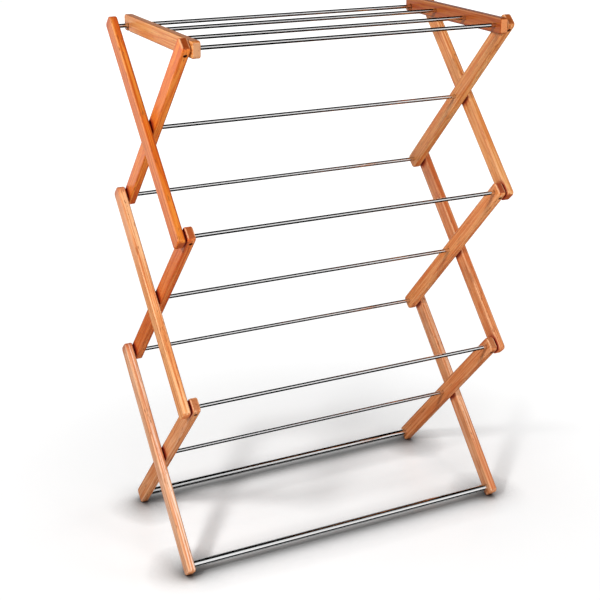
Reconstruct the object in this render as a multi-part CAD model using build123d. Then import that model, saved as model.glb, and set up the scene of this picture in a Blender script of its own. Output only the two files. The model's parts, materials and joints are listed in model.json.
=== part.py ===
"""Folding clothes drying rack: two wooden scissor ends, joined by steel tubes, under a hinged top shelf.

Frame: +X runs along the tubes, +Y from the front to the back, +Z up.
The origin lies on the floor, in the middle of the four feet.
Levels count from the floor: 0 is the bottom pair of crossed slats, and the last one carries the shelf.
"""

from build123d import *
from math import asin, cos, degrees, hypot, radians, sin
import os

# The scissor linkage
LEVEL_NAMES = ["bottom", "middle", "top"]
ROW_NAMES = ["foot", "lower", "upper", "top"]  # rows of end pivots: one more than the levels
LEVELS = len(LEVEL_NAMES)
LEVEL_HEIGHT = 338.0  # from one row of end pivots to the next
PIVOT_DEPTH = 312.0  # from the front pivots to the back ones
FOOT_HEIGHT = 19.5  # lowest pivots above the floor
INNER_SPAN = 656.0  # between the inner faces of the two inner slats

# Slats
SLAT_WIDTH = 31.0
SLAT_THICKNESS = 16.0
SLAT_OVERHANG = 16.0  # slat end beyond its last pivot
SLAT_GAP = 4.0  # between an inner slat and the outer one beside it
SLAT_CORNER_RADIUS = 8.0  # the corners of each slat's ends
FOOT_CORNER_RADIUS = 3.0  # where a foot is cut level with the floor
ARRIS_RADIUS = 2.5  # the long edges of all wood

# Tubes
TUBE_RADIUS = 4.0
TUBE_WALL = 0.8
FOOT_TUBE_RADIUS = 7.0
FOOT_TUBE_WALL = 1.0
SOCKET_DEPTH = 12.5  # blind hole that takes a tube's end
SOCKET_END_GAP = 0.3  # between a tube's end and the bottom of its socket
SNUG_CLEARANCE = 0.02  # radial, where a brad holds the tube
RUNNING_CLEARANCE = 0.08  # radial, where wood turns on the tube

# Top shelf
ARM_WIDTH = 31.0
ARM_THICKNESS = 16.0
ARM_GAP = 2.0  # between an arm and the inner slat beside it
ARM_OVERHANG = 20.5  # arm end beyond the tube it meets
ARM_CORNER_RADIUS = 6.0  # the corners of each arm's ends
SHELF_TUBE_REACH = [104.0, 212.0]  # front pivot to each of the shelf's own tubes
NOTCH_HEIGHT = 11.5  # the notch's seat axis above the arm's underside
NOTCH_SLACK = 0.4  # the notch is this much wider than its tube, each side
NOTCH_SEAT_CLEARANCE = 0.05  # between the notch's crown and the tube it sits on
NOTCH_MOUTH_RADIUS = 3.0  # the notch's two lower corners

# Spacers and brads
SPACER_RADIUS = 6.5
SPACER_SIDE_PLAY = 0.3  # left between a spacer and the piece that turns beside it
BRAD_RADIUS = 1.2
BRAD_HEAD_RADIUS = 3.4
BRAD_HEAD_THICKNESS = 0.8
BRAD_HEAD_DEPTH = 3.5  # how far a head is sunk below the slat's edge
BRAD_HOLE_CLEARANCE = 0.03
BRAD_PAST_TUBE = 2.5  # brad's point beyond the tube's far wall

# Worked out from the values above
SLAT_RISE = LEVEL_HEIGHT / hypot(LEVEL_HEIGHT, PIVOT_DEPTH)
SLAT_RUN = PIVOT_DEPTH / hypot(LEVEL_HEIGHT, PIVOT_DEPTH)
INNER_FACE = INNER_SPAN / 2
OUTER_FACE = INNER_FACE + SLAT_THICKNESS + SLAT_GAP
ARM_FACE = INNER_FACE - ARM_GAP - ARM_THICKNESS
ARM_TILT = degrees(asin((ARM_WIDTH / 2 - NOTCH_HEIGHT) / PIVOT_DEPTH))
FLAT_TOLERANCE = 1e-6  # a corner this near to the floor stands on it

# Unit vectors (y, z) out of the underside edge of each kind of piece
OUTER_UNDERSIDE = (SLAT_RISE, -SLAT_RUN)
INNER_UNDERSIDE = (-SLAT_RISE, -SLAT_RUN)
ARM_UNDERSIDE = (sin(radians(ARM_TILT)), -cos(radians(ARM_TILT)))


def row_height(row):
    """Height of a row of end pivots, counted from the feet."""
    return FOOT_HEIGHT + row * LEVEL_HEIGHT


def front_pivot(row):
    return (-PIVOT_DEPTH / 2, row_height(row))


def back_pivot(row):
    return (PIVOT_DEPTH / 2, row_height(row))


def cross_pivot(level):
    """Where the two slats of a level cross."""
    return (0.0, (row_height(level) + row_height(level + 1)) / 2)


def arm_point(reach, drop=0.0):
    """A point on the arm: reach along its centre line from the front pivot, drop below that line."""
    y, z = front_pivot(LEVELS)
    along = (cos(radians(ARM_TILT)), sin(radians(ARM_TILT)))
    return (
        y + reach * along[0] + drop * ARM_UNDERSIDE[0],
        z + reach * along[1] + drop * ARM_UNDERSIDE[1],
    )


def both_sides(right):
    """The piece on the right end of the rack, and its mirror image on the left end."""
    return {"right": right, "left": mirror(right, about=Plane.YZ)}


def rod_between(start_x, end_x, radius, at):
    """A round bar along X through the point at = (y, z)."""
    plane = Plane(origin=(start_x, at[0], at[1]), x_dir=(0, 1, 0), z_dir=(1, 0, 0))
    return extrude(plane * Circle(radius), amount=end_x - start_x)


def bar_towards(start, direction, length, radius, x):
    """A round bar in the plane at x, from start = (y, z) along the unit vector direction."""
    plane = Plane(
        origin=(x, start[0], start[1]),
        x_dir=(1, 0, 0),
        z_dir=(0, direction[0], direction[1]),
    )
    return extrude(plane * Circle(radius), amount=length)


def above_floor(corners):
    """The corners (y, z) of an outline, cut off level with the floor where it would reach below it."""
    kept = []
    for (y0, z0), (y1, z1) in zip(corners, corners[1:] + corners[:1]):
        if z0 >= 0:
            kept.append((y0, z0))
        if (z0 < 0) != (z1 < 0):
            kept.append((y0 + (y1 - y0) * z0 / (z0 - z1), 0.0))
    return kept


def wooden_bar(start, end, overhang, width, thickness, corner_radius, inner_x):
    """A bar over two points (y, z) with rounded corners, standing on the floor where it reaches it."""
    span = hypot(end[0] - start[0], end[1] - start[1])
    along = ((end[0] - start[0]) / span, (end[1] - start[1]) / span)
    across = (-along[1], along[0])
    corners = [
        (
            start[0] + along[0] * reach + across[0] * offset,
            start[1] + along[1] * reach + across[1] * offset,
        )
        for reach, offset in (
            (-overhang, -width / 2),
            (span + overhang, -width / 2),
            (span + overhang, width / 2),
            (-overhang, width / 2),
        )
    ]
    outline = Polygon(*above_floor(corners), align=None)
    outline = fillet([v for v in outline.vertices() if abs(v.Y) > FLAT_TOLERANCE], corner_radius)
    standing = [v for v in outline.vertices() if abs(v.Y) <= FLAT_TOLERANCE]
    if standing:
        outline = fillet(standing, FOOT_CORNER_RADIUS)
    side = Plane(origin=(inner_x, 0, 0), x_dir=(0, 1, 0), z_dir=(1, 0, 0))
    return extrude(side * outline, amount=thickness)


def soften(bar):
    """Rounds the long edges of a wooden bar on both of its broad faces."""
    broad = bar.faces().filter_by(Axis.X)
    outline = [edge for face in broad for edge in face.outer_wire().edges()]
    return fillet(outline, ARRIS_RADIUS)


def tube_hole(at, face_x, depth, radius, clearance):
    """The drilling that takes a tube, from the face at face_x outwards."""
    return rod_between(face_x, face_x + depth, radius + clearance, at)


def brad_drilling(at, underside, width, tube_radius, x):
    """The brad's pilot hole and the wider mouth that its head is sunk into."""
    surface = (at[0] + underside[0] * width / 2, at[1] + underside[1] * width / 2)
    inward = (-underside[0], -underside[1])
    pilot_length = width / 2 + tube_radius + BRAD_PAST_TUBE + BRAD_HOLE_CLEARANCE
    pilot = bar_towards(surface, inward, pilot_length, BRAD_RADIUS + BRAD_HOLE_CLEARANCE, x)
    mouth_start = (at[0] + underside[0] * width, at[1] + underside[1] * width)
    mouth_length = width / 2 + BRAD_HEAD_DEPTH + BRAD_HEAD_THICKNESS
    mouth = bar_towards(
        mouth_start, inward, mouth_length, BRAD_HEAD_RADIUS + BRAD_HOLE_CLEARANCE, x
    )
    return pilot + mouth


def brad(at, underside, width, tube_radius, x):
    """A flat-headed steel brad, driven in from the underside edge and through the tube."""
    inward = (-underside[0], -underside[1])
    head_reach = width / 2 - BRAD_HEAD_DEPTH
    head_start = (at[0] + underside[0] * head_reach, at[1] + underside[1] * head_reach)
    head = bar_towards(head_start, inward, BRAD_HEAD_THICKNESS, BRAD_HEAD_RADIUS, x)
    shank = bar_towards(
        head_start, inward, head_reach + tube_radius + BRAD_PAST_TUBE, BRAD_RADIUS, x
    )
    return head + shank


def slat(start, end, inner_x, sockets, passages, pinned):
    """One slat, as (y, z) ends, with its blind sockets, through holes and brad drillings.

    sockets and passages are lists of (point, tube radius, clearance), and pinned is a list of
    (point, underside, tube radius).
    """
    bar = wooden_bar(
        start, end, SLAT_OVERHANG, SLAT_WIDTH, SLAT_THICKNESS, SLAT_CORNER_RADIUS, inner_x
    )
    bar = soften(bar)
    for at, radius, clearance in sockets:
        bar -= tube_hole(at, inner_x, SOCKET_DEPTH, radius, clearance)
    for at, radius, clearance in passages:
        bar -= tube_hole(at, inner_x, SLAT_THICKNESS, radius, clearance)
    for at, underside, radius in pinned:
        bar -= brad_drilling(at, underside, SLAT_WIDTH, radius, inner_x + SLAT_THICKNESS / 2)
    return bar


def outer_slat(level):
    """Runs from the front pivot at the level's foot up to the back pivot at its head."""
    low, middle, high = front_pivot(level), cross_pivot(level), back_pivot(level + 1)
    low_radius = FOOT_TUBE_RADIUS if level == 0 else TUBE_RADIUS
    sockets = [
        (low, low_radius, RUNNING_CLEARANCE),
        (middle, TUBE_RADIUS, SNUG_CLEARANCE),
        (high, TUBE_RADIUS, SNUG_CLEARANCE),
    ]
    pinned = [(at, OUTER_UNDERSIDE, TUBE_RADIUS) for at in (middle, high)]
    return slat(low, high, OUTER_FACE, sockets, [], pinned)


def inner_slat(level):
    """Runs from the back pivot at the level's foot up to the front pivot at its head."""
    low, middle, high = back_pivot(level), cross_pivot(level), front_pivot(level + 1)
    sockets = []
    passages = [(middle, TUBE_RADIUS, RUNNING_CLEARANCE)]
    if level == 0:
        sockets.append((low, FOOT_TUBE_RADIUS, SNUG_CLEARANCE))
    else:
        passages.append((low, TUBE_RADIUS, RUNNING_CLEARANCE))
    if level == LEVELS - 1:
        sockets.append((high, TUBE_RADIUS, SNUG_CLEARANCE))
    else:
        passages.append((high, TUBE_RADIUS, SNUG_CLEARANCE))
    return slat(
        low, high, INNER_FACE, sockets, passages, [(high, INNER_UNDERSIDE, TUBE_RADIUS)]
    )


def notch():
    """The slot in an arm's underside that drops over the top back tube."""
    half_width = TUBE_RADIUS + NOTCH_SLACK
    seat = arm_point(PIVOT_DEPTH * cos(radians(ARM_TILT)), ARM_WIDTH / 2 - NOTCH_HEIGHT)
    plane = Plane(
        origin=(ARM_FACE, seat[0], seat[1]),
        x_dir=(0, -ARM_UNDERSIDE[1], ARM_UNDERSIDE[0]),
        z_dir=(1, 0, 0),
    )
    crown_centre = NOTCH_SEAT_CLEARANCE - NOTCH_SLACK
    round_top = Pos(0, crown_centre) * Circle(half_width)
    slot = Pos(0, crown_centre - NOTCH_HEIGHT) * Rectangle(2 * half_width, 2 * NOTCH_HEIGHT)
    return extrude(plane * (round_top + slot), amount=ARM_THICKNESS)


def ease_notch_mouth(arm):
    """Rounds the two corners where the notch meets the arm's underside."""
    lip = arm_point(PIVOT_DEPTH, ARM_WIDTH / 2)
    reach = TUBE_RADIUS + NOTCH_SLACK + NOTCH_MOUTH_RADIUS / 2
    corners = [
        edge
        for edge in arm.edges().filter_by(Axis.X)
        if hypot(edge.center().Y - lip[0], edge.center().Z - lip[1]) < reach
    ]
    return fillet(corners, NOTCH_MOUTH_RADIUS)


def shelf_arm():
    """One arm of the shelf, hung on the top front tube and hooked over the top back one."""
    bar = wooden_bar(
        arm_point(0),
        arm_point(PIVOT_DEPTH),
        ARM_OVERHANG,
        ARM_WIDTH,
        ARM_THICKNESS,
        ARM_CORNER_RADIUS,
        ARM_FACE,
    )
    bar = soften(ease_notch_mouth(bar - notch()))
    bar -= tube_hole(arm_point(0), ARM_FACE, ARM_THICKNESS, TUBE_RADIUS, RUNNING_CLEARANCE)
    for reach in SHELF_TUBE_REACH:
        at = arm_point(reach)
        bar -= tube_hole(at, ARM_FACE, SOCKET_DEPTH, TUBE_RADIUS, SNUG_CLEARANCE)
        bar -= brad_drilling(at, ARM_UNDERSIDE, ARM_WIDTH, TUBE_RADIUS, ARM_FACE + ARM_THICKNESS / 2)
    return bar


def tube(at, socket_face, radius=TUBE_RADIUS, wall=TUBE_WALL, brad_x=None, underside=None):
    """A steel tube whose ends stand in the blind sockets behind socket_face, drilled for its brads."""
    half = socket_face + SOCKET_DEPTH - SOCKET_END_GAP
    body = rod_between(-half, half, radius, at) - rod_between(-half, half, radius - wall, at)
    if brad_x is not None:
        start = (at[0] + underside[0] * 2 * radius, at[1] + underside[1] * 2 * radius)
        inward = (-underside[0], -underside[1])
        for x in (-brad_x, brad_x):
            body -= bar_towards(start, inward, 4 * radius, BRAD_RADIUS + BRAD_HOLE_CLEARANCE, x)
    return body


def spacer(at, face_x, gap, outward):
    """A ring on a tube. It sits on the piece at face_x and fills the gap but for the side play."""
    thickness = gap - SPACER_SIDE_PLAY
    start = face_x - thickness if outward else face_x
    ring = rod_between(start, start + thickness, SPACER_RADIUS, at)
    return ring - rod_between(start, start + thickness, TUBE_RADIUS + SNUG_CLEARANCE, at)


def pair(right):
    """The piece and its mirror image in one node, as two separate solids."""
    return Compound(children=list(both_sides(right).values()))


def pinned_tube(name, at, socket_face, brad_x, underside, width):
    """A tube and the two brads that hold it, by node name."""
    return {
        f"{name}_rod": tube(at, socket_face, brad_x=brad_x, underside=underside),
        f"{name}_rod_brads": pair(brad(at, underside, width, TUBE_RADIUS, brad_x)),
    }


def slats():
    made = {}
    for level, name in enumerate(LEVEL_NAMES):
        for side, piece in both_sides(outer_slat(level)).items():
            made[f"{name}_outer_slat_{side}"] = piece
        for side, piece in both_sides(inner_slat(level)).items():
            made[f"{name}_inner_slat_{side}"] = piece
    return made


def linkage_tubes():
    """The tubes at the crossings and at the end pivots, with their brads."""
    made = {}
    outer_middle = OUTER_FACE + SLAT_THICKNESS / 2
    inner_middle = INNER_FACE + SLAT_THICKNESS / 2
    for level, name in enumerate(LEVEL_NAMES):
        made |= pinned_tube(
            f"{name}_cross", cross_pivot(level), OUTER_FACE, outer_middle, OUTER_UNDERSIDE, SLAT_WIDTH
        )
    for row in range(1, LEVELS + 1):
        name = ROW_NAMES[row]
        # the topmost front tube has no outer slat beyond it, so it ends in the inner slats
        front_face = INNER_FACE if row == LEVELS else OUTER_FACE
        made |= pinned_tube(
            f"{name}_front", front_pivot(row), front_face, inner_middle, INNER_UNDERSIDE, SLAT_WIDTH
        )
        made |= pinned_tube(
            f"{name}_back", back_pivot(row), OUTER_FACE, outer_middle, OUTER_UNDERSIDE, SLAT_WIDTH
        )
    made["foot_front_rod"] = tube(front_pivot(0), OUTER_FACE, FOOT_TUBE_RADIUS, FOOT_TUBE_WALL)
    made["foot_back_rod"] = tube(back_pivot(0), INNER_FACE, FOOT_TUBE_RADIUS, FOOT_TUBE_WALL)
    return made


def linkage_spacers():
    """The rings that keep each inner slat off the outer slat beside it, at every shared pivot."""
    places = {f"{name}_cross": cross_pivot(level) for level, name in enumerate(LEVEL_NAMES)}
    for row in range(1, LEVELS):
        places[f"{ROW_NAMES[row]}_front"] = front_pivot(row)
        places[f"{ROW_NAMES[row]}_back"] = back_pivot(row)
    made = {}
    for name, at in places.items():
        # front tubes move with the inner slats, and all the others with the outer ones
        if name.endswith("_front"):
            ring = spacer(at, INNER_FACE + SLAT_THICKNESS, SLAT_GAP, outward=False)
        else:
            ring = spacer(at, OUTER_FACE, SLAT_GAP, outward=True)
        made[f"{name}_spacers"] = pair(ring)
    return made


def shelf():
    """The two arms, the shelf's own tubes with their brads, and the spacers beside the arms."""
    made = {f"shelf_arm_{side}": arm for side, arm in both_sides(shelf_arm()).items()}
    arm_middle = ARM_FACE + ARM_THICKNESS / 2
    for name, reach in zip(("shelf_front", "shelf_back"), SHELF_TUBE_REACH):
        made |= pinned_tube(name, arm_point(reach), ARM_FACE, arm_middle, ARM_UNDERSIDE, ARM_WIDTH)
    ring = spacer(front_pivot(LEVELS), INNER_FACE, ARM_GAP, outward=True)
    made["shelf_hinge_spacers"] = pair(ring)
    return made


def build():
    made = slats() | linkage_tubes() | linkage_spacers() | shelf()
    os.makedirs("parts", exist_ok=True)
    for name, piece in made.items():
        export_step(piece, f"parts/{name}.step")
    print(f"{len(made)} nodes")


build()
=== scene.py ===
"""Finishes and studio for a folding clothes drying rack of lacquered beech and polished steel tubes."""

import json
from math import atan2, cos, pi, radians, sin, tau
from types import SimpleNamespace

import bpy
from bpy.props import FloatProperty, FloatVectorProperty, PointerProperty
from bpy.types import Operator, Panel, PropertyGroup
from mathutils import Euler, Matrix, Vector


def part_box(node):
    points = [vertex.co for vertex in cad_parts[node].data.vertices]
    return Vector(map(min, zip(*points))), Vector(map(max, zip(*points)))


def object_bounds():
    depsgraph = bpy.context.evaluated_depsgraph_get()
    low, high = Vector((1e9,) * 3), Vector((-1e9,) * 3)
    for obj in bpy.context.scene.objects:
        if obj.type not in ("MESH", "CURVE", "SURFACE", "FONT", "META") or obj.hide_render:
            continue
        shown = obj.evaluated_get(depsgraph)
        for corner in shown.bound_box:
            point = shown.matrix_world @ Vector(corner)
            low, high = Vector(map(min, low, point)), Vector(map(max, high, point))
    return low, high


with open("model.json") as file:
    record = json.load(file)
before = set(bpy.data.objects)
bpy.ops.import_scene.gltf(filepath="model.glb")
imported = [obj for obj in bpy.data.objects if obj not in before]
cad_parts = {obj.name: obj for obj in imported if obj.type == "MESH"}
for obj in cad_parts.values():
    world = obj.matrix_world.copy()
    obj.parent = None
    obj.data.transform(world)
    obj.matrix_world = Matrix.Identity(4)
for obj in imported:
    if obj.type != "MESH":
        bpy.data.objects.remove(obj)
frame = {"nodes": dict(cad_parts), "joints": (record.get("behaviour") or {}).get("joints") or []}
cad_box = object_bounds()

bl_info = {
    "name": "Clothes drying rack",
    "version": (1, 0, 0),
    "blender": (4, 5, 0),
    "location": "View3D > Sidebar > Rack",
    "description": "Finishes the wood and steel of a folding drying rack and sets up its studio",
    "category": "Object",
}

MM = 0.001
ENDS = ("left", "right")
LEVELS = ("bottom", "middle", "top")
JOINTS = {joint["name"]: Vector(joint["pos_m"]) for joint in frame["joints"]}

# The wood, in millimetres
WOOD_WIDTH = 31.0
WOOD_THICKNESS = 16.0
ARRIS_RADIUS = 2.5
SLAT_OVERHANG = 16.0  # from the outermost pivot to the end of a slat
TUBE_RADIUS = 4.0
BRAD_MOUTH_RADIUS = 3.4  # of the hole that a brad's head is sunk into

# Each piece's own wood, under its lacquer
PIECE_COLOURS = {
    "bottom_outer_slat_left": (0.82, 0.44, 0.235),
    "bottom_outer_slat_right": (0.73, 0.325, 0.14),
    "bottom_inner_slat_left": (0.73, 0.31, 0.12),
    "bottom_inner_slat_right": (0.69, 0.245, 0.078),
    "middle_outer_slat_left": (0.77, 0.33, 0.115),
    "middle_outer_slat_right": (0.69, 0.25, 0.085),
    "middle_inner_slat_left": (0.65, 0.15, 0.026),
    "middle_inner_slat_right": (0.77, 0.285, 0.085),
    "top_outer_slat_left": (0.63, 0.155, 0.014),
    "top_outer_slat_right": (0.71, 0.28, 0.080),
    "top_inner_slat_left": (0.75, 0.185, 0.018),
    "top_inner_slat_right": (0.71, 0.285, 0.080),
    "shelf_arm_left": (0.67, 0.255, 0.060),
    "shelf_arm_right": (0.40, 0.090, 0.008),
}
# The cut ends, darker end grain that took up more lacquer, deepened with painted shade: of each kind of
# piece, and of three that differ
END_COLOURS = {
    "bottom_outer": (0.80, 0.30, 0.11),
    "bottom_inner": (0.42, 0.14, 0.052),
    "middle_outer": (0.70, 0.19, 0.050),
    "middle_inner": (0.33, 0.070, 0.016),
    "middle_inner_slat_right": (0.27, 0.038, 0.010),
    "top_outer": (0.39, 0.062, 0.008),
    "top_inner": (0.19, 0.028, 0.003),
    "top_inner_slat_right": (0.31, 0.065, 0.008),
    "shelf_arm": (0.58, 0.29, 0.145),
    "shelf_arm_right": (0.75, 0.27, 0.095),
}
# Shares of a piece's own colour
LATE_WOOD = (0.78, 0.58, 0.45)
EARLY_WOOD = (1.16, 1.55, 2.3)
FLAME_WOOD = (0.78, 0.44, 0.30)
EDGE_SHADE_WOOD = (0.42, 0.30, 0.26)  # painted shade along a long edge
SHELF_TOP_SHADE = (0.50, 0.38, 0.30)  # painted shade on the arms' upper faces

BLACK, WHITE = (0.0, 0.0, 0.0), (1.0, 1.0, 1.0)


def scaled(own, shares):
    """A colour, each of its parts times a share of its own."""
    return [min(1.0, part * share) for part, share in zip(own, shares)]


def middle_of(node):
    """The middle of a node's box."""
    low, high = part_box(node)
    return (low + high) / 2


# --- Shader maths -------------------------------------------------------------------------------


def fill(socket, value):
    """Links a Shade to a socket, or sets the socket's own value. A colour needs no alpha."""
    if isinstance(value, Shade):
        value.tree.links.new(value.socket, socket)
    elif socket.type == "RGBA":
        socket.default_value = (*value[:3], 1.0)
    else:
        socket.default_value = value


class Shade:
    """One socket of a material's nodes. Python's operators on it add the nodes they stand for."""

    def __init__(self, tree, socket=None):
        self.tree = tree
        self.socket = socket

    def node(self, kind, settings=None, inputs=None, output=0):
        """Adds a node, its settings first and then its sockets' values or links. Gives one output."""
        made = self.tree.nodes.new(kind)
        for name, value in (settings or {}).items():
            setattr(made, name, value)
        for key, value in (inputs or {}).items():
            fill(made.inputs[key], value)
        return Shade(self.tree, made.outputs[output])

    def combine(self, operation, first, second):
        """A Math node, or a Vector Math node where either term is a vector."""
        terms = (first, second)
        is_vector = any(isinstance(t, Shade) and t.socket.type == "VECTOR" for t in terms)
        if not is_vector:
            return self.node("ShaderNodeMath", {"operation": operation}, dict(enumerate(terms)))
        terms = [(t, t, t) if isinstance(t, (int, float)) else t for t in terms]
        return self.node("ShaderNodeVectorMath", {"operation": operation}, dict(enumerate(terms)))

    def __add__(self, other):
        return self.combine("ADD", self, other)

    def __radd__(self, other):
        return self.combine("ADD", other, self)

    def __sub__(self, other):
        return self.combine("SUBTRACT", self, other)

    def __rsub__(self, other):
        return self.combine("SUBTRACT", other, self)

    def __mul__(self, other):
        return self.combine("MULTIPLY", self, other)

    def __rmul__(self, other):
        return self.combine("MULTIPLY", other, self)

    def __truediv__(self, other):
        return self.combine("DIVIDE", self, other)

    def __abs__(self):
        return self.node("ShaderNodeMath", {"operation": "ABSOLUTE"}, {0: self})

    def least(self, other):
        return self.combine("MINIMUM", self, other)

    def most(self, other):
        return self.combine("MAXIMUM", self, other)

    def power(self, exponent):
        return self.combine("POWER", self, exponent)

    def fraction(self):
        return self.node("ShaderNodeMath", {"operation": "FRACT"}, {0: self})

    def floor(self):
        return self.node("ShaderNodeMath", {"operation": "FLOOR"}, {0: self})

    def length(self):
        return self.node("ShaderNodeVectorMath", {"operation": "LENGTH"}, {0: self}, output=1)

    def dot(self, direction):
        return self.node(
            "ShaderNodeVectorMath", {"operation": "DOT_PRODUCT"}, {0: self, 1: direction}, output=1
        )

    def part(self, axis):
        """The x, y or z of a vector."""
        return self.node("ShaderNodeSeparateXYZ", inputs={0: self}, output=axis.upper())

    def rises(self, low, high):
        """0 up to low, 1 from high on, and smooth between them."""
        return self.node(
            "ShaderNodeMapRange",
            {"interpolation_type": "SMOOTHSTEP"},
            {"Value": self, "From Min": low, "From Max": high},
        )

    def falls(self, low, high):
        """1 up to low, 0 from high on, and smooth between them."""
        return 1 - self.rises(low, high)

    def noise(self, detail=2.0, roughness=0.5, seed=0.0):
        """Soft noise of size 1 in this vector's own units, from 0 to 1."""
        return self.node(
            "ShaderNodeTexNoise",
            {"noise_dimensions": "4D"},
            {"Vector": self, "W": seed, "Scale": 1.0, "Detail": detail, "Roughness": roughness},
        )

    def blend(self, first, second):
        """A colour: first where this mask is 0 and second where it is 1."""
        return self.node(
            "ShaderNodeMix", {"data_type": "RGBA"}, {"Factor": self, 6: first, 7: second}, output=2
        )


def start_material(name):
    """An empty material, its Principled shader and a Shade to build its nodes with."""
    material = bpy.data.materials.new(name)
    material.use_nodes = True
    tree = material.node_tree
    return material, tree.nodes["Principled BSDF"], Shade(tree)


def feed(shader, **links):
    """Links or sets the shader's sockets, such as base_color for Base Color."""
    for key, value in links.items():
        fill(shader.inputs[key.replace("_", " ").title().replace("Ior", "IOR")], value)


def bump_from(shade, height, strength, depth):
    """The bent normal of a surface whose relief is depth deep where height is 1."""
    return shade.node("ShaderNodeBump", inputs={"Strength": strength, "Distance": depth, "Height": height})


def give(node, material):
    """Puts one material on a CAD node."""
    mesh = frame["nodes"][node].data
    mesh.materials.clear()
    mesh.materials.append(material)


# --- Settings -----------------------------------------------------------------------------------


def colour(name, description, default):
    return FloatVectorProperty(
        name=name, description=description, subtype="COLOR", size=3, min=0.0, max=1.0, default=default
    )


def share(name, description, default):
    return FloatProperty(
        name=name, description=description, subtype="FACTOR", min=0.0, max=1.0, default=default
    )


def distance(name, description, default):
    return FloatProperty(name=name, description=description, unit="LENGTH", default=default)


def angle(name, description, default):
    return FloatProperty(name=name, description=description, subtype="ANGLE", default=radians(default))


class RACK_PG_beech(PropertyGroup):
    tint: colour("Tint", "Colour that every piece's own is multiplied by", (1.0, 1.0, 1.0))
    fleck: colour("Flecks", "Colour of the short dark ray flecks", (0.26, 0.062, 0.017))
    # painted highlight along two of the long edges, and round the inner slats' upper ends
    arris_highlight: colour("Arris", "Colour of the rubbed long edges", (0.95, 0.55, 0.30))
    # painted shade on the outer slats' upper ends
    head: colour("Heads", "Colour of the outer slats' upper ends", (0.40, 0.055, 0.010))
    # painted shade in the narrow gap between slats that turn on each other
    gap_shade: colour("Turning faces", "Colour of the faces that turn on each other", (0.30, 0.012, 0.004))
    mouth: colour("Brad holes", "Colour of the wood where the brads are sunk", (0.045, 0.006, 0.003))
    ring_spacing: distance("Ring spacing", "Width of one year's ring", 0.0046)
    roughness: share("Roughness", "Roughness of the lacquered wood", 0.44)
    lacquer: share("Lacquer", "Weight of the clear coat", 0.20)


class RACK_PG_steel(PropertyGroup):
    tube: colour("Tubes", "Colour of the polished tubes", (0.86, 0.86, 0.865))
    brad: colour("Brads", "Colour of the sunk brads", (0.20, 0.18, 0.17))
    nylon: colour("Spacers", "Colour of the spacers between the slats", (0.055, 0.022, 0.012))
    roughness: share("Roughness", "Roughness of the polished tubes", 0.11)


class RACK_PG_studio(PropertyGroup):
    camera_away: distance("Camera distance", "From the camera to the rack's middle", 2.587)
    camera_round: angle("Camera angle", "How far round the rack's left end the camera stands", 27.24)
    camera_up: angle("Camera rise", "Angle of the camera above the rack's middle", 19.3)
    camera_turn: angle("Camera turn", "Heading of the camera, to the right of straight back", 26.55)
    camera_tilt: angle("Camera tilt", "How far the camera looks down", 18.85)
    lens: FloatProperty(name="Lens", description="Focal length", unit="CAMERA", default=75.2)
    rise: FloatProperty(name="Rise", description="Vertical shift of the lens", default=-0.0625)
    ambient: share("Ambient", "Brightness of the soft light from all round", 0.34)
    floor: share("Floor", "Whiteness of the floor", 0.92)
    floor_glow: share("Floor glow", "Brightness that the floor near the rack has of its own", 0.16)
    shadow_reach: distance("Shadow reach", "How far from the rack's middle its shadows fade out", 0.95)
    # painted contact shadow on the floor close under the pieces
    contact_shadow_reach: distance("Contact reach", "How near a piece darkens the floor under it", 0.08)
    floor_radius: distance("Floor radius", "Reach of the floor around the rack", 9.0)


# --- Wood ---------------------------------------------------------------------------------------

NOISE_MIDDLE = 0.5
SEED_STEP = 17.3  # between one piece's noise and the next one's

# The wood's own figure: noise drawn out along the grain. Each has its cells per mm across the grain
# and along it, its detail, roughness and seed, and the range of the noise over which it comes up
FIGURES = {
    "wander": (0.004, 0.008, 1.0, 0.5, 0, None),  # of the pith
    "ripple": (0.05, 0.02, 2.0, 0.5, 3, None),  # in each year's ring
    "fibre": (1.3, 0.035, 3.0, 0.65, 0, None),
    "streak": (0.34, 0.006, 2.0, 0.6, 15, None),
    "flame": (0.10, 0.010, 2.0, 0.5, 7, (0.46, 0.64)),
    "stain": (0.16, 0.028, 2.0, 0.5, 11, (0.645, 0.72)),
    "patches": (0.05, 0.011, 1.0, 0.5, 13, (0.36, 0.60)),  # where the ray flecks gather
    "dashes": (0.46, 0.08, 1.0, 0.5, 5, (0.60, 0.68)),  # the ray flecks themselves
    "pores": (2.2, 0.45, 1.0, 0.5, 9, (0.60, 0.70)),
}
PITH_WANDER = 26.0  # mm
RING_RIPPLE = 2.4  # mm
PITH_FIRST_TURN, PITH_TURN_STEP = 0.7, 2.4  # radians round the log
PITH_NEAREST, PITH_STEP, PITH_STEPS = 46.0, 9.0, 5  # mm from a piece's middle
LATE_IN_YEAR = (0.35, 0.95)  # share of a ring over which its late wood comes up
WEAKEST_YEAR = 0.25  # strength of the faintest late wood, against 1 for the strongest
FIBRE_DARK = (0.42, 0.68)  # of the fibre's noise
STREAK_DARK, STREAK_PALE = (0.40, 0.49), (0.50, 0.60)  # of the streak's noise

# How far from its place each mark starts to come up or die away, and how far it goes on, in mm
EDGE = (0.4, ARRIS_RADIUS)
WIDE_EDGE = (0.8, ARRIS_RADIUS + 1.4)
TUBE_RING = (TUBE_RADIUS, TUBE_RADIUS + 1.6)
GAP_SHADE_PATCH = (13.0, 28.0)
GAP_SHADE_FRAY = 8.0
BRAD_MOUTH = (BRAD_MOUTH_RADIUS, BRAD_MOUTH_RADIUS + 1.2)
UNDERSIDE = (8.0, 9.0)
END_RIM_HIGHLIGHT = (1.0, 3.6)
HEAD_START = 6.0  # where the painted shade on an outer slat's head starts, below its highest pivot
SHADED_EDGES_SIDE = (-6.0, 6.0)  # in square mm, through the wood times across it: which two long edges get the painted shade

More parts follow.
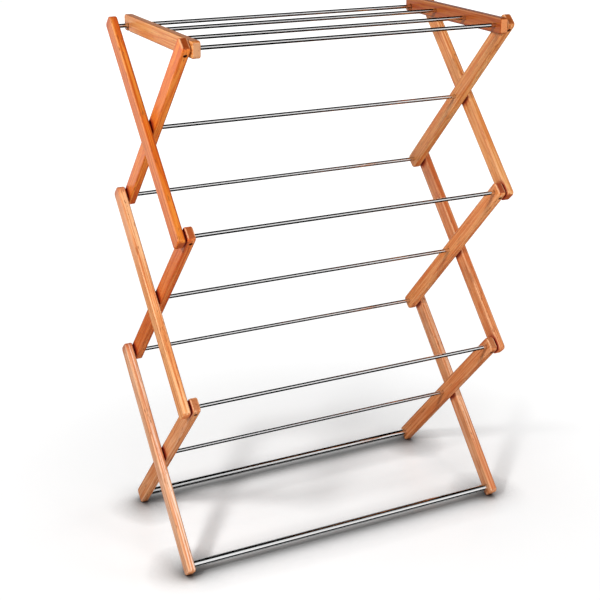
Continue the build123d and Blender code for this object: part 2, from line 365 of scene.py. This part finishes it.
# Ways a face can point, as cosines
CUT_FACES = (0.72, 0.93)
BROAD_FACES = (0.5, 0.9)
UPPER_FACES = (0.5, 0.9)
RINGED_FACES = (0.8, 0.95)
INNER_TURNING_FACES, OUTER_TURNING_FACES = (0.75, 0.95), (0.10, 0.60)

# How far each mark covers the colour under it
COVER = SimpleNamespace(
    late=0.85,
    flame=0.45,
    fibre=0.30,
    dark_streak=0.80,
    pale_streak=0.85,
    seam=0.75,
    inner_edge_shade=0.55,
    arris_highlight=0.36,
    head=0.65,
    shelf_top_shade=0.80,
    cut=0.90,
    rim_highlight=0.60,
    pores=0.26,
    stain=0.50,
    ring=0.70,
    mouth=0.90,
    gap_shade=0.94,
)
BROAD_FACE_STREAKS = 0.55  # strength there, against 1 on the narrow faces
BROAD_FACE_FLECKS, NARROW_FACE_FLECKS = 0.36, 0.82
ARRIS_EVENNESS = 0.4  # added to the fibre's noise in the painted highlight along the edges

# Shares of the relief's depth, the strength of its bump, and shares of roughness and gloss
RELIEF = SimpleNamespace(fibre=0.5, late=0.25, flecks=0.5, strength=0.35, depth=0.12 * MM)
ROUGHNESS = SimpleNamespace(fibre=0.16, cut=0.12, ring=0.10, gap_shade=0.40, lacquer=0.20)
CUT_DULLNESS = 0.6
WOOD_SPECULAR = 0.24


def grain_in(shade, local, settings, number):
    """Masks of the wood's own figure: late wood, fibres, streaks, flame, stains, flecks and pores."""

    def figure(name):
        across, along, detail, roughness, seed, shows = FIGURES[name]
        cells = local * (across, along, across)
        made = cells.noise(detail=detail, roughness=roughness, seed=number * SEED_STEP + seed)
        return made.rises(*shows) if shows else made

    # year rings round the pith, which wanders along the tree
    wander = figure("wander") * PITH_WANDER
    ripple = figure("ripple") * RING_RIPPLE
    pith = pith_for(number)
    reach = (local * (1.0, 0.0, 1.0) - (pith[0], 0.0, pith[1])).length() + wander + ripple
    years = reach / (settings.ring_spacing / MM)
    strength = shade.node("ShaderNodeTexWhiteNoise", {"noise_dimensions": "1D"}, {"W": years.floor()})
    late = years.fraction().rises(*LATE_IN_YEAR) * (WEAKEST_YEAR + (1 - WEAKEST_YEAR) * strength)
    others = ("fibre", "streak", "flame", "stain", "patches", "dashes", "pores")
    return SimpleNamespace(late=late, **{name: figure(name) for name in others})


def places_on(shade, local, node, middle, along, holes, pivots, brads, fibre):
    """Masks of the places on a piece: its long edges, its ends, its faces and round what it holds.

    With them come the way each face points, the depth below the broad faces and the sum of that and
    the depth below the narrow ones, in mm.
    """
    is_inner = "_inner_" in node
    through, across = local.part("x"), local.part("z")
    depth = WOOD_THICKNESS / 2 - abs(through)
    inset = depth + (WOOD_WIDTH / 2 - abs(across))
    facing = shade.node("ShaderNodeTexCoord", output="Normal")
    inward = facing.dot((1.0 if middle.x < 0 else -1.0, 0.0, 0.0))
    underside = across if is_inner else 0 - across
    gap_shade = None
    if pivots:
        # painted shade in the narrow gap where two slats turn on each other
        if is_inner:
            turning = (0 - inward).rises(*INNER_TURNING_FACES)
        else:
            turning = inward.rises(*OUTER_TURNING_FACES)
        away = nearest(local, pivots) + (fibre - NOISE_MIDDLE) * GAP_SHADE_FRAY
        gap_shade = away.falls(*GAP_SHADE_PATCH) * turning
    return SimpleNamespace(
        facing=facing,
        depth=depth,
        inset=inset,
        wide_edge=inset.falls(*WIDE_EDGE),
        shaded_edges=(through * across).rises(*SHADED_EDGES_SIDE),
        cut=abs(facing.dot(along)).rises(*CUT_FACES),
        narrow=1 - abs(inward).rises(*BROAD_FACES),
        # a dark ring round each tube: painted shade where it enters the wood, with finish gathered there too
        ring=nearest(local, holes).falls(*TUBE_RING) * inward.rises(*RINGED_FACES),
        mouth=nearest(local, brads, (1.0, 1.0, 0.0)).falls(*BRAD_MOUTH) * underside.rises(*UNDERSIDE),
        gap_shade=gap_shade,
    )


def lacquered_beech(node, settings, middle, along, holes, pivots, brads, number):
    """Beech under clear lacquer. Its grain runs along the unit vector along, in the rack's side plane.

    middle is the piece's own middle. holes are the places along it, in mm from there, where tubes go in.
    pivots are those of them where it turns on the slat beside it, and brads those where a brad is sunk.
    """
    material, shader, shade = start_material(f"beech_{node}")
    turn = atan2(along.z, along.y)
    place = shade.node("ShaderNodeTexCoord", output="Object")
    local = shade.node(
        "ShaderNodeMapping",
        {"vector_type": "TEXTURE"},
        {"Vector": place, "Location": middle, "Rotation": (turn, 0.0, 0.0), "Scale": (MM, MM, MM)},
    )
    grain = grain_in(shade, local, settings, number)
    at = places_on(shade, local, node, middle, along, holes, pivots, brads, grain.fibre)

    ground = scaled(PIECE_COLOURS[node], settings.tint)
    late_wood, early_wood, flame_wood, edge_shade_wood, shelf_top_shade = (
        scaled(ground, shares) for shares in (LATE_WOOD, EARLY_WOOD, FLAME_WOOD, EDGE_SHADE_WOOD, SHELF_TOP_SHADE)
    )
    is_inner = "_inner_" in node
    upper_end = holes[-1] + SLAT_OVERHANG
    streaks = BROAD_FACE_STREAKS + (1 - BROAD_FACE_STREAKS) * at.narrow
    paint = (grain.late * COVER.late).blend(ground, late_wood)
    paint = (grain.flame * COVER.flame).blend(paint, flame_wood)
    paint = (grain.fibre.rises(*FIBRE_DARK) * COVER.fibre).blend(paint, late_wood)
    paint = (grain.streak.falls(*STREAK_DARK) * COVER.dark_streak * streaks).blend(paint, flame_wood)
    paint = (grain.streak.rises(*STREAK_PALE) * COVER.pale_streak * streaks).blend(paint, early_wood)

    # painted shade along two of the long edges; on inner slats the other two get painted shade too, and on
    # outer slats and arms a painted highlight
    paint = (at.wide_edge * COVER.seam * at.shaded_edges).blend(paint, edge_shade_wood)
    if is_inner:
        edge = at.inset.falls(*EDGE)
        paint = (edge * COVER.inner_edge_shade * (1 - at.shaded_edges)).blend(paint, edge_shade_wood)
    else:
        # painted highlight along the other two long edges of outer slats and arms
        edge_highlight = at.wide_edge * COVER.arris_highlight * (ARRIS_EVENNESS + grain.fibre) * (1 - at.shaded_edges)
        paint = edge_highlight.blend(paint, settings.arris_highlight)
    # painted shade, darker towards each outer slat's upper end
    if "_outer_" in node:
        head = local.part("y").rises(holes[-1] - HEAD_START, upper_end)
        paint = (head * COVER.head).blend(paint, settings.head)
    # painted shade on the arms' upper faces
    if node.startswith("shelf"):
        upper = at.facing.dot((0.0, 0.0, 1.0)).rises(*UPPER_FACES)
        paint = (upper * COVER.shelf_top_shade).blend(paint, shelf_top_shade)
    # the cut ends: darker end grain, with painted shade
    kind = "_".join(node.split("_")[:2])
    paint = (at.cut * COVER.cut).blend(paint, END_COLOURS.get(node, END_COLOURS[kind]))
    # painted highlight round the rim of each inner slat's upper end
    if is_inner:
        rim_highlight = (at.depth + (upper_end - local.part("y"))).falls(*END_RIM_HIGHLIGHT)
        paint = (rim_highlight * COVER.rim_highlight).blend(paint, settings.arris_highlight)

    # flecks, pores and stains, a dark ring round each tube, the brads' holes, and painted shade where slats
    # turn on each other
    fleck_cover = BROAD_FACE_FLECKS + (NARROW_FACE_FLECKS - BROAD_FACE_FLECKS) * at.narrow
    flecks = grain.dashes * grain.patches * fleck_cover
    marks = flecks.most(grain.pores * COVER.pores).most(grain.stain * COVER.stain).most(at.ring * COVER.ring)
    paint = marks.blend(paint, settings.fleck)
    paint = (at.mouth * COVER.mouth).blend(paint, settings.mouth)
    gloss = 1 - CUT_DULLNESS * at.cut
    roughness = settings.roughness + ROUGHNESS.fibre * (grain.fibre - NOISE_MIDDLE)
    roughness = roughness + ROUGHNESS.cut * at.cut + ROUGHNESS.ring * at.ring
    if at.gap_shade is not None:
        paint = (at.gap_shade * COVER.gap_shade).blend(paint, settings.gap_shade)
        gloss = gloss * (1 - at.gap_shade)
        roughness = roughness + ROUGHNESS.gap_shade * at.gap_shade

    pits = grain.dashes.most(grain.pores)
    height = grain.fibre * RELIEF.fibre - grain.late * RELIEF.late - pits * RELIEF.flecks
    feed(
        shader,
        base_color=paint,
        roughness=roughness,
        specular_ior_level=WOOD_SPECULAR,
        coat_weight=settings.lacquer * gloss,
        coat_roughness=ROUGHNESS.lacquer,
        normal=bump_from(shade, height, RELIEF.strength, RELIEF.depth),
    )
    return material


def nearest(local, places, plane=(0.0, 1.0, 1.0)):
    """How far a point is from the nearest of some places along the piece, in its side plane or another."""
    flat = local * plane
    least = None
    for place in places:
        away = (flat - (0.0, place, 0.0)).length()
        least = away if least is None else least.least(away)
    return least


def pith_for(number):
    """Where a piece was sawn from: the log's centre lies a different way from each piece."""
    turn = number * PITH_TURN_STEP + PITH_FIRST_TURN
    reach = PITH_NEAREST + PITH_STEP * (number % PITH_STEPS)
    return (reach * cos(turn), reach * sin(turn))


class RACK_OT_finish_slats(Operator):
    """Gives each crossed slat its own lacquered beech, with the grain along it"""

    bl_idname = "rack.finish_slats"
    bl_label = "Finish slats"

    def execute(self, context):
        settings = context.scene.rack_beech
        rising = (JOINTS["bottom_scissor"] - JOINTS["fold"]).normalized()
        falling = Vector((0.0, -rising.y, rising.z))
        half = (JOINTS["bottom_scissor"] - JOINTS["fold"]).length / MM
        holes = [-half, 0.0, half]
        layers = (("outer", rising, [0.0, half]), ("inner", falling, [half]))
        number = 0
        for level in LEVELS:
            crossing = JOINTS[f"{level}_scissor"]
            # the lowest and the highest pivots have no other slat beside them
            first = 1 if level == LEVELS[0] else 0
            last = 1 if level == LEVELS[-1] else 2
            for layer, along, brads in layers:
                for end in ENDS:
                    node = f"{level}_{layer}_slat_{end}"
                    middle = Vector((middle_of(node).x, crossing.y, crossing.z))
                    pivots = holes[first : last + 1]
                    give(node, lacquered_beech(node, settings, middle, along, holes, pivots, brads, number))
                    number += 1
        return {"FINISHED"}


class RACK_OT_finish_shelf(Operator):
    """Gives the two arms of the top shelf their lacquered beech"""

    bl_idname = "rack.finish_shelf"
    bl_label = "Finish shelf arms"

    def execute(self, context):
        settings = context.scene.rack_beech
        front, back = middle_of("shelf_front_rod"), middle_of("shelf_back_rod")
        along = (back - front).normalized()
        hinge = JOINTS["shelf_lift"]
        slats = len(LEVELS) * len(ENDS) * 2  # an outer and an inner one each
        for number, end in enumerate(ENDS, start=slats):
            node = f"shelf_arm_{end}"
            box_middle = middle_of(node)
            middle = hinge + along * (box_middle.y - hinge.y) / along.y
            middle.x = box_middle.x
            holes = [(place - middle).dot(along) / MM for place in (hinge, front, back)]
            give(node, lacquered_beech(node, settings, middle, along, holes, [], holes[1:], number))
        return {"FINISHED"}


# --- Metal and nylon ----------------------------------------------------------------------------

# Tubes. Their noises are in cells per metre along the tube and across it
DRAWN_CELLS, LINE_CELLS, MARK_CELLS = (6.0, 900.0, 900.0), (0.8, 260.0, 260.0), (14.0, 60.0, 60.0)
LINE_SEED, MARK_SEED = 9, 5
LINES_SHOW, MARKS_SHOW = (0.50, 0.58), (0.5, 0.72)
TUBE_SHINE, DRAWN_SHADE = 0.93, 0.14
MARK_COVER = 0.2
FOOT_LINES_AND_PAINTED_REFLECTIONS, THIN_LINES = 0.60, 0.15  # strength of the dark lines along the foot tubes, with painted reflection stripes there, and along the thin ones
MARK_TONE, LINE_TONE = (0.86,) * 3, (0.25,) * 3  # shares of the tube's own colour
DRAWN_ROUGHNESS, MARK_ROUGHNESS = 0.10, 0.09
DRAWN_BUMP, DRAWN_DEPTH = 0.12, 0.02 * MM

# Brads
STAIN_CELLS, STAIN_SHOWS = 900.0, (0.4, 0.65)
STAIN_TONE = (0.4,) * 3
BRAD_METALLIC = 0.9
BRAD_ROUGHNESS, STAIN_ROUGHNESS = 0.42, 0.2

# Spacers
NYLON_CELLS, NYLON_SHOWS = 1800.0, (0.35, 0.7)
NYLON_PALE = (1.6,) * 3
NYLON_ROUGHNESS, NYLON_GRAIN_ROUGHNESS = 0.55, 0.15
NYLON_BUMP, NYLON_DEPTH = 0.2, 0.05 * MM


def polished_steel(settings, seed, lines):
    """Bright tube, drawn lengthways and polished, with a few finger marks.

    lines is the strength of the dark lines along it, which the drawing left, and on the foot tubes painted
    reflection stripes too.
    """
    material, shader, shade = start_material(f"polished_steel_{seed}")
    place = shade.node("ShaderNodeTexCoord", output="Object")
    drawn = (place * DRAWN_CELLS).noise(detail=3.0, roughness=0.7, seed=seed)
    marks = (place * MARK_CELLS).noise(detail=3.0, seed=seed + MARK_SEED).rises(*MARKS_SHOW)
    shine = (TUBE_SHINE + DRAWN_SHADE * (drawn - NOISE_MIDDLE)).blend(BLACK, settings.tube)
    drawing = (place * LINE_CELLS).noise(detail=1.0, seed=seed + LINE_SEED).rises(*LINES_SHOW)
    tone = (marks * MARK_COVER).blend(shine, scaled(settings.tube, MARK_TONE))
    tone = (drawing * lines).blend(tone, scaled(settings.tube, LINE_TONE))
    feed(
        shader,
        base_color=tone,
        metallic=1.0,
        roughness=settings.roughness + DRAWN_ROUGHNESS * (drawn - NOISE_MIDDLE) + MARK_ROUGHNESS * marks,
        normal=bump_from(shade, drawn, DRAWN_BUMP, DRAWN_DEPTH),
    )
    return material


def dull_steel(settings):
    """Plain steel brad, darkened by the lacquer that ran over it."""
    material, shader, shade = start_material("dull_steel")
    place = shade.node("ShaderNodeTexCoord", output="Object")
    stain = (place * STAIN_CELLS).noise(detail=3.0, roughness=0.6)
    tone = stain.rises(*STAIN_SHOWS).blend(settings.brad, scaled(settings.brad, STAIN_TONE))
    feed(
        shader,
        base_color=tone,
        metallic=BRAD_METALLIC,
        roughness=BRAD_ROUGHNESS + STAIN_ROUGHNESS * stain,
    )
    return material


def brown_nylon(settings):
    """Moulded dark spacer, with a fine matt grain."""
    material, shader, shade = start_material("brown_nylon")
    place = shade.node("ShaderNodeTexCoord", output="Object")
    grain = (place * NYLON_CELLS).noise(detail=2.0)
    tone = grain.rises(*NYLON_SHOWS).blend(settings.nylon, scaled(settings.nylon, NYLON_PALE))
    feed(
        shader,
        base_color=tone,
        roughness=NYLON_ROUGHNESS + NYLON_GRAIN_ROUGHNESS * grain,
        normal=bump_from(shade, grain, NYLON_BUMP, NYLON_DEPTH),
    )
    return material


class RACK_OT_finish_tubes(Operator):
    """Gives every tube its polished steel"""

    bl_idname = "rack.finish_tubes"
    bl_label = "Finish tubes"

    def execute(self, context):
        tubes = sorted(node for node in frame["nodes"] if node.endswith("_rod"))
        for number, node in enumerate(tubes):
            lines = FOOT_LINES_AND_PAINTED_REFLECTIONS if node.startswith("foot_") else THIN_LINES
            give(node, polished_steel(context.scene.rack_steel, number, lines))
        return {"FINISHED"}


class RACK_OT_finish_fixings(Operator):
    """Gives the sunk brads their dull steel and the spacers their brown nylon"""

    bl_idname = "rack.finish_fixings"
    bl_label = "Finish fixings"

    def execute(self, context):
        steel = dull_steel(context.scene.rack_steel)
        nylon = brown_nylon(context.scene.rack_steel)
        for node in frame["nodes"]:
            if node.endswith("_brads"):
                give(node, steel)
            if node.endswith("_spacers"):
                give(node, nylon)
        return {"FINISHED"}


# --- Studio -------------------------------------------------------------------------------------

# Lamps that point at the rack's middle: place, width and height in metres, and power in watts
LAMPS = {
    "key_lamp": ((-2.2, -0.9, 2.1), (0.4, 0.4), 52.0),
    "front_lamp": ((0.1, -3.2, 1.1), (2.4, 1.6), 36.0),
    "side_lamp": ((2.6, -0.7, 1.5), (1.4, 1.4), 16.0),
    "top_lamp": ((0.3, 0.0, 2.8), (0.8, 0.8), 9.0),
}
CARD_START, CARD_LENGTH = -2.6, 5.6  # of the low cards, along the tubes, in metres
# A corner and the two edges from it, in metres
MIRROR_CARDS = {
    "roof_card": ((-3.2, -1.6, 2.35), (0.0, 7.6, 0.0), (7.0, 0.0, 0.0)),
    "low_card": ((CARD_START, -6.0, 0.036), (CARD_LENGTH, 0.0, 0.0), (0.0, 7.6, 0.0)),
    "left_card": ((-3.5, -1.2, 0.2), (0.0, 2.4, 0.0), (0.0, 0.0, 0.65)),
    "right_card": ((3.5, -1.2, 0.2), (0.0, 0.0, 0.65), (0.0, 2.4, 0.0)),
}
# Beside each foot tube: where a card starts from the tube's middle, and its width, in metres
FOOT_CARDS = {"line": (-0.10, 0.086), "under": (0.004, 0.196)}
FOOT_CARD_HEIGHT = 0.003

FADE_START = 0.35  # share of the shadows' reach
# of the painted contact shadow
CONTACT_SAMPLES, CONTACT_POWER = 12, 3.0
FLOOR_ROUGHNESS = 0.35


def seen_directly(shade):
    """1 for camera, mirror and glass rays, which see the plain white background."""
    camera, glossy, transmission = (
        shade.node("ShaderNodeLightPath", output=f"Is {kind} Ray")
        for kind in ("Camera", "Glossy", "Transmission")
    )
    return camera.most(glossy).most(transmission)


def pale_floor(settings):
    """White floor that keeps the rack's soft shadows, with a painted contact shadow close under the pieces,
    and fades into the white background.
    """
    material, shader, shade = start_material("pale_floor")
    away = shade.node("ShaderNodeTexCoord", output="Object").length()
    seen = seen_directly(shade)
    fade = away.rises(settings.shadow_reach * FADE_START, settings.shadow_reach) * seen
    # painted contact shadow: ambient occlusion darkens the floor's colour and glow near the pieces
    contact_shadow_factor = shade.node(
        "ShaderNodeAmbientOcclusion",
        {"samples": CONTACT_SAMPLES},
        {"Distance": settings.contact_shadow_reach},
        output=1,
    ).power(CONTACT_POWER)
    glow = (settings.floor_glow * seen + (1 - settings.floor_glow) * fade) * contact_shadow_factor
    feed(
        shader,
        base_color=((1 - fade) * contact_shadow_factor).blend(BLACK, (settings.floor,) * 3),
        roughness=FLOOR_ROUGHNESS,
        emission_color=glow.blend(BLACK, WHITE),
        emission_strength=1.0,
    )
    return material


def flat_shape(name, corners, material):
    """An object of one flat face, such as the floor."""
    mesh = bpy.data.meshes.new(name)
    mesh.from_pydata(corners, [], [tuple(range(len(corners)))])
    mesh.materials.append(material)
    made = bpy.data.objects.new(name, mesh)
    bpy.context.scene.collection.objects.link(made)
    return made


def disc(radius, points=96):
    """The rim of a flat round floor on z = 0."""
    return [(radius * cos(tau * i / points), radius * sin(tau * i / points), 0.0) for i in range(points)]


def mirror_card(name, corner, first_edge, second_edge):
    """A black card that only polished surfaces see, from the side where its edges turn anticlockwise.

    Cards like these draw the dark lines along the tubes. They hold back no light.
    """
    corner, first, second = Vector(corner), Vector(first_edge), Vector(second_edge)
    material, shader, shade = start_material(name)
    black = shade.node("ShaderNodeEmission", inputs={"Color": BLACK, "Strength": 0.0})
    clear = shade.node("ShaderNodeBsdfTransparent")
    behind = shade.node("ShaderNodeNewGeometry", output="Backfacing")
    mixed = shade.node("ShaderNodeMixShader", inputs={0: behind, 1: black, 2: clear})
    fill(shade.tree.nodes["Material Output"].inputs["Surface"], mixed)
    shade.tree.nodes.remove(shader)
    card = flat_shape(name, [corner, corner + first, corner + first + second, corner + second], material)
    for kind in ("camera", "diffuse", "transmission", "volume_scatter", "shadow"):
        setattr(card, f"visible_{kind}", False)


def area_lamp(name, place, aim, size, power):
    """A soft rectangular lamp at place that points at aim. Polished surfaces don't mirror it."""
    lamp = bpy.data.lights.new(name, "AREA")
    lamp.shape = "RECTANGLE"
    lamp.size, lamp.size_y = size
    lamp.energy = power
    made = bpy.data.objects.new(name, lamp)
    made.location = place
    made.rotation_euler = (Vector(aim) - Vector(place)).to_track_quat("-Z", "Y").to_euler()
    made.visible_glossy = False
    bpy.context.scene.collection.objects.link(made)


class RACK_OT_set_stage(Operator):
    """Lays the floor and sets the soft lamps, the white background and the view transform"""

    bl_idname = "rack.set_stage"
    bl_label = "Set stage"

    def execute(self, context):
        scene = context.scene
        settings = scene.rack_studio
        scene.view_settings.view_transform = "Standard"
        floor = flat_shape("floor", disc(settings.floor_radius), pale_floor(settings))
        middle = (cad_box[0] + cad_box[1]) / 2
        for name, (place, size, power) in LAMPS.items():
            area_lamp(name, place, middle, size, power)
        for name, (corner, first, second) in MIRROR_CARDS.items():
            mirror_card(name, corner, first, second)
        for foot in ("foot_front_rod", "foot_back_rod"):
            for kind, (start, width) in FOOT_CARDS.items():
                corner = (CARD_START, middle_of(foot).y + start, FOOT_CARD_HEIGHT)
                mirror_card(f"{foot}_{kind}_card", corner, (CARD_LENGTH, 0.0, 0.0), (0.0, width, 0.0))
        self.set_world(scene, settings)
        return {"FINISHED"}

    @staticmethod
    def set_world(scene, settings):
        world = bpy.data.worlds.new("white_room")
        world.use_nodes = True
        scene.world = world
        shade = Shade(world.node_tree)
        background = world.node_tree.nodes["Background"]
        fill(background.inputs["Color"], WHITE)
        fill(background.inputs["Strength"], settings.ambient + (1 - settings.ambient) * seen_directly(shade))


class RACK_OT_set_camera(Operator):
    """Stands the camera in front of the rack's left end, looking slightly down"""

    bl_idname = "rack.set_camera"
    bl_label = "Set camera"

    def execute(self, context):
        settings = context.scene.rack_studio
        middle = (cad_box[0] + cad_box[1]) / 2
        flat = cos(settings.camera_up)
        back = Vector(
            (-sin(settings.camera_round) * flat, -cos(settings.camera_round) * flat, sin(settings.camera_up))
        )
        data = bpy.data.cameras.new("camera")
        data.lens = settings.lens
        data.shift_y = settings.rise
        camera = bpy.data.objects.new("camera", data)
        camera.location = middle + back * settings.camera_away
        camera.rotation_euler = Euler((pi / 2 - settings.camera_tilt, 0.0, -settings.camera_turn))
        context.scene.collection.objects.link(camera)
        context.scene.camera = camera
        return {"FINISHED"}


# --- Add-on -------------------------------------------------------------------------------------


class RACK_PT_panel(Panel):
    """Buttons for the rack's finishes and its studio"""

    bl_idname = "RACK_PT_panel"
    bl_label = "Clothes drying rack"
    bl_space_type = "VIEW_3D"
    bl_region_type = "UI"
    bl_category = "Rack"

    def draw(self, context):
        layout = self.layout
        for settings in (context.scene.rack_beech, context.scene.rack_steel, context.scene.rack_studio):
            box = layout.box()
            for name in settings.__annotations__:
                box.prop(settings, name)
        for operator in OPERATORS:
            layout.operator(operator.bl_idname)


SETTINGS = {"rack_beech": RACK_PG_beech, "rack_steel": RACK_PG_steel, "rack_studio": RACK_PG_studio}
OPERATORS = (
    RACK_OT_set_camera,
    RACK_OT_finish_slats,
    RACK_OT_finish_shelf,
    RACK_OT_finish_tubes,
    RACK_OT_finish_fixings,
    RACK_OT_set_stage,
)
CLASSES = (*SETTINGS.values(), *OPERATORS, RACK_PT_panel)


def register():
    for item in CLASSES:
        bpy.utils.register_class(item)
    for name, group in SETTINGS.items():
        setattr(bpy.types.Scene, name, PointerProperty(type=group))


def unregister():
    for name in SETTINGS:
        delattr(bpy.types.Scene, name)
    for item in reversed(CLASSES):
        bpy.utils.unregister_class(item)


def main():
    register()
    for operator in OPERATORS:
        group, name = operator.bl_idname.split(".")
        getattr(getattr(bpy.ops, group), name)()


if __name__ == "__main__":
    main()
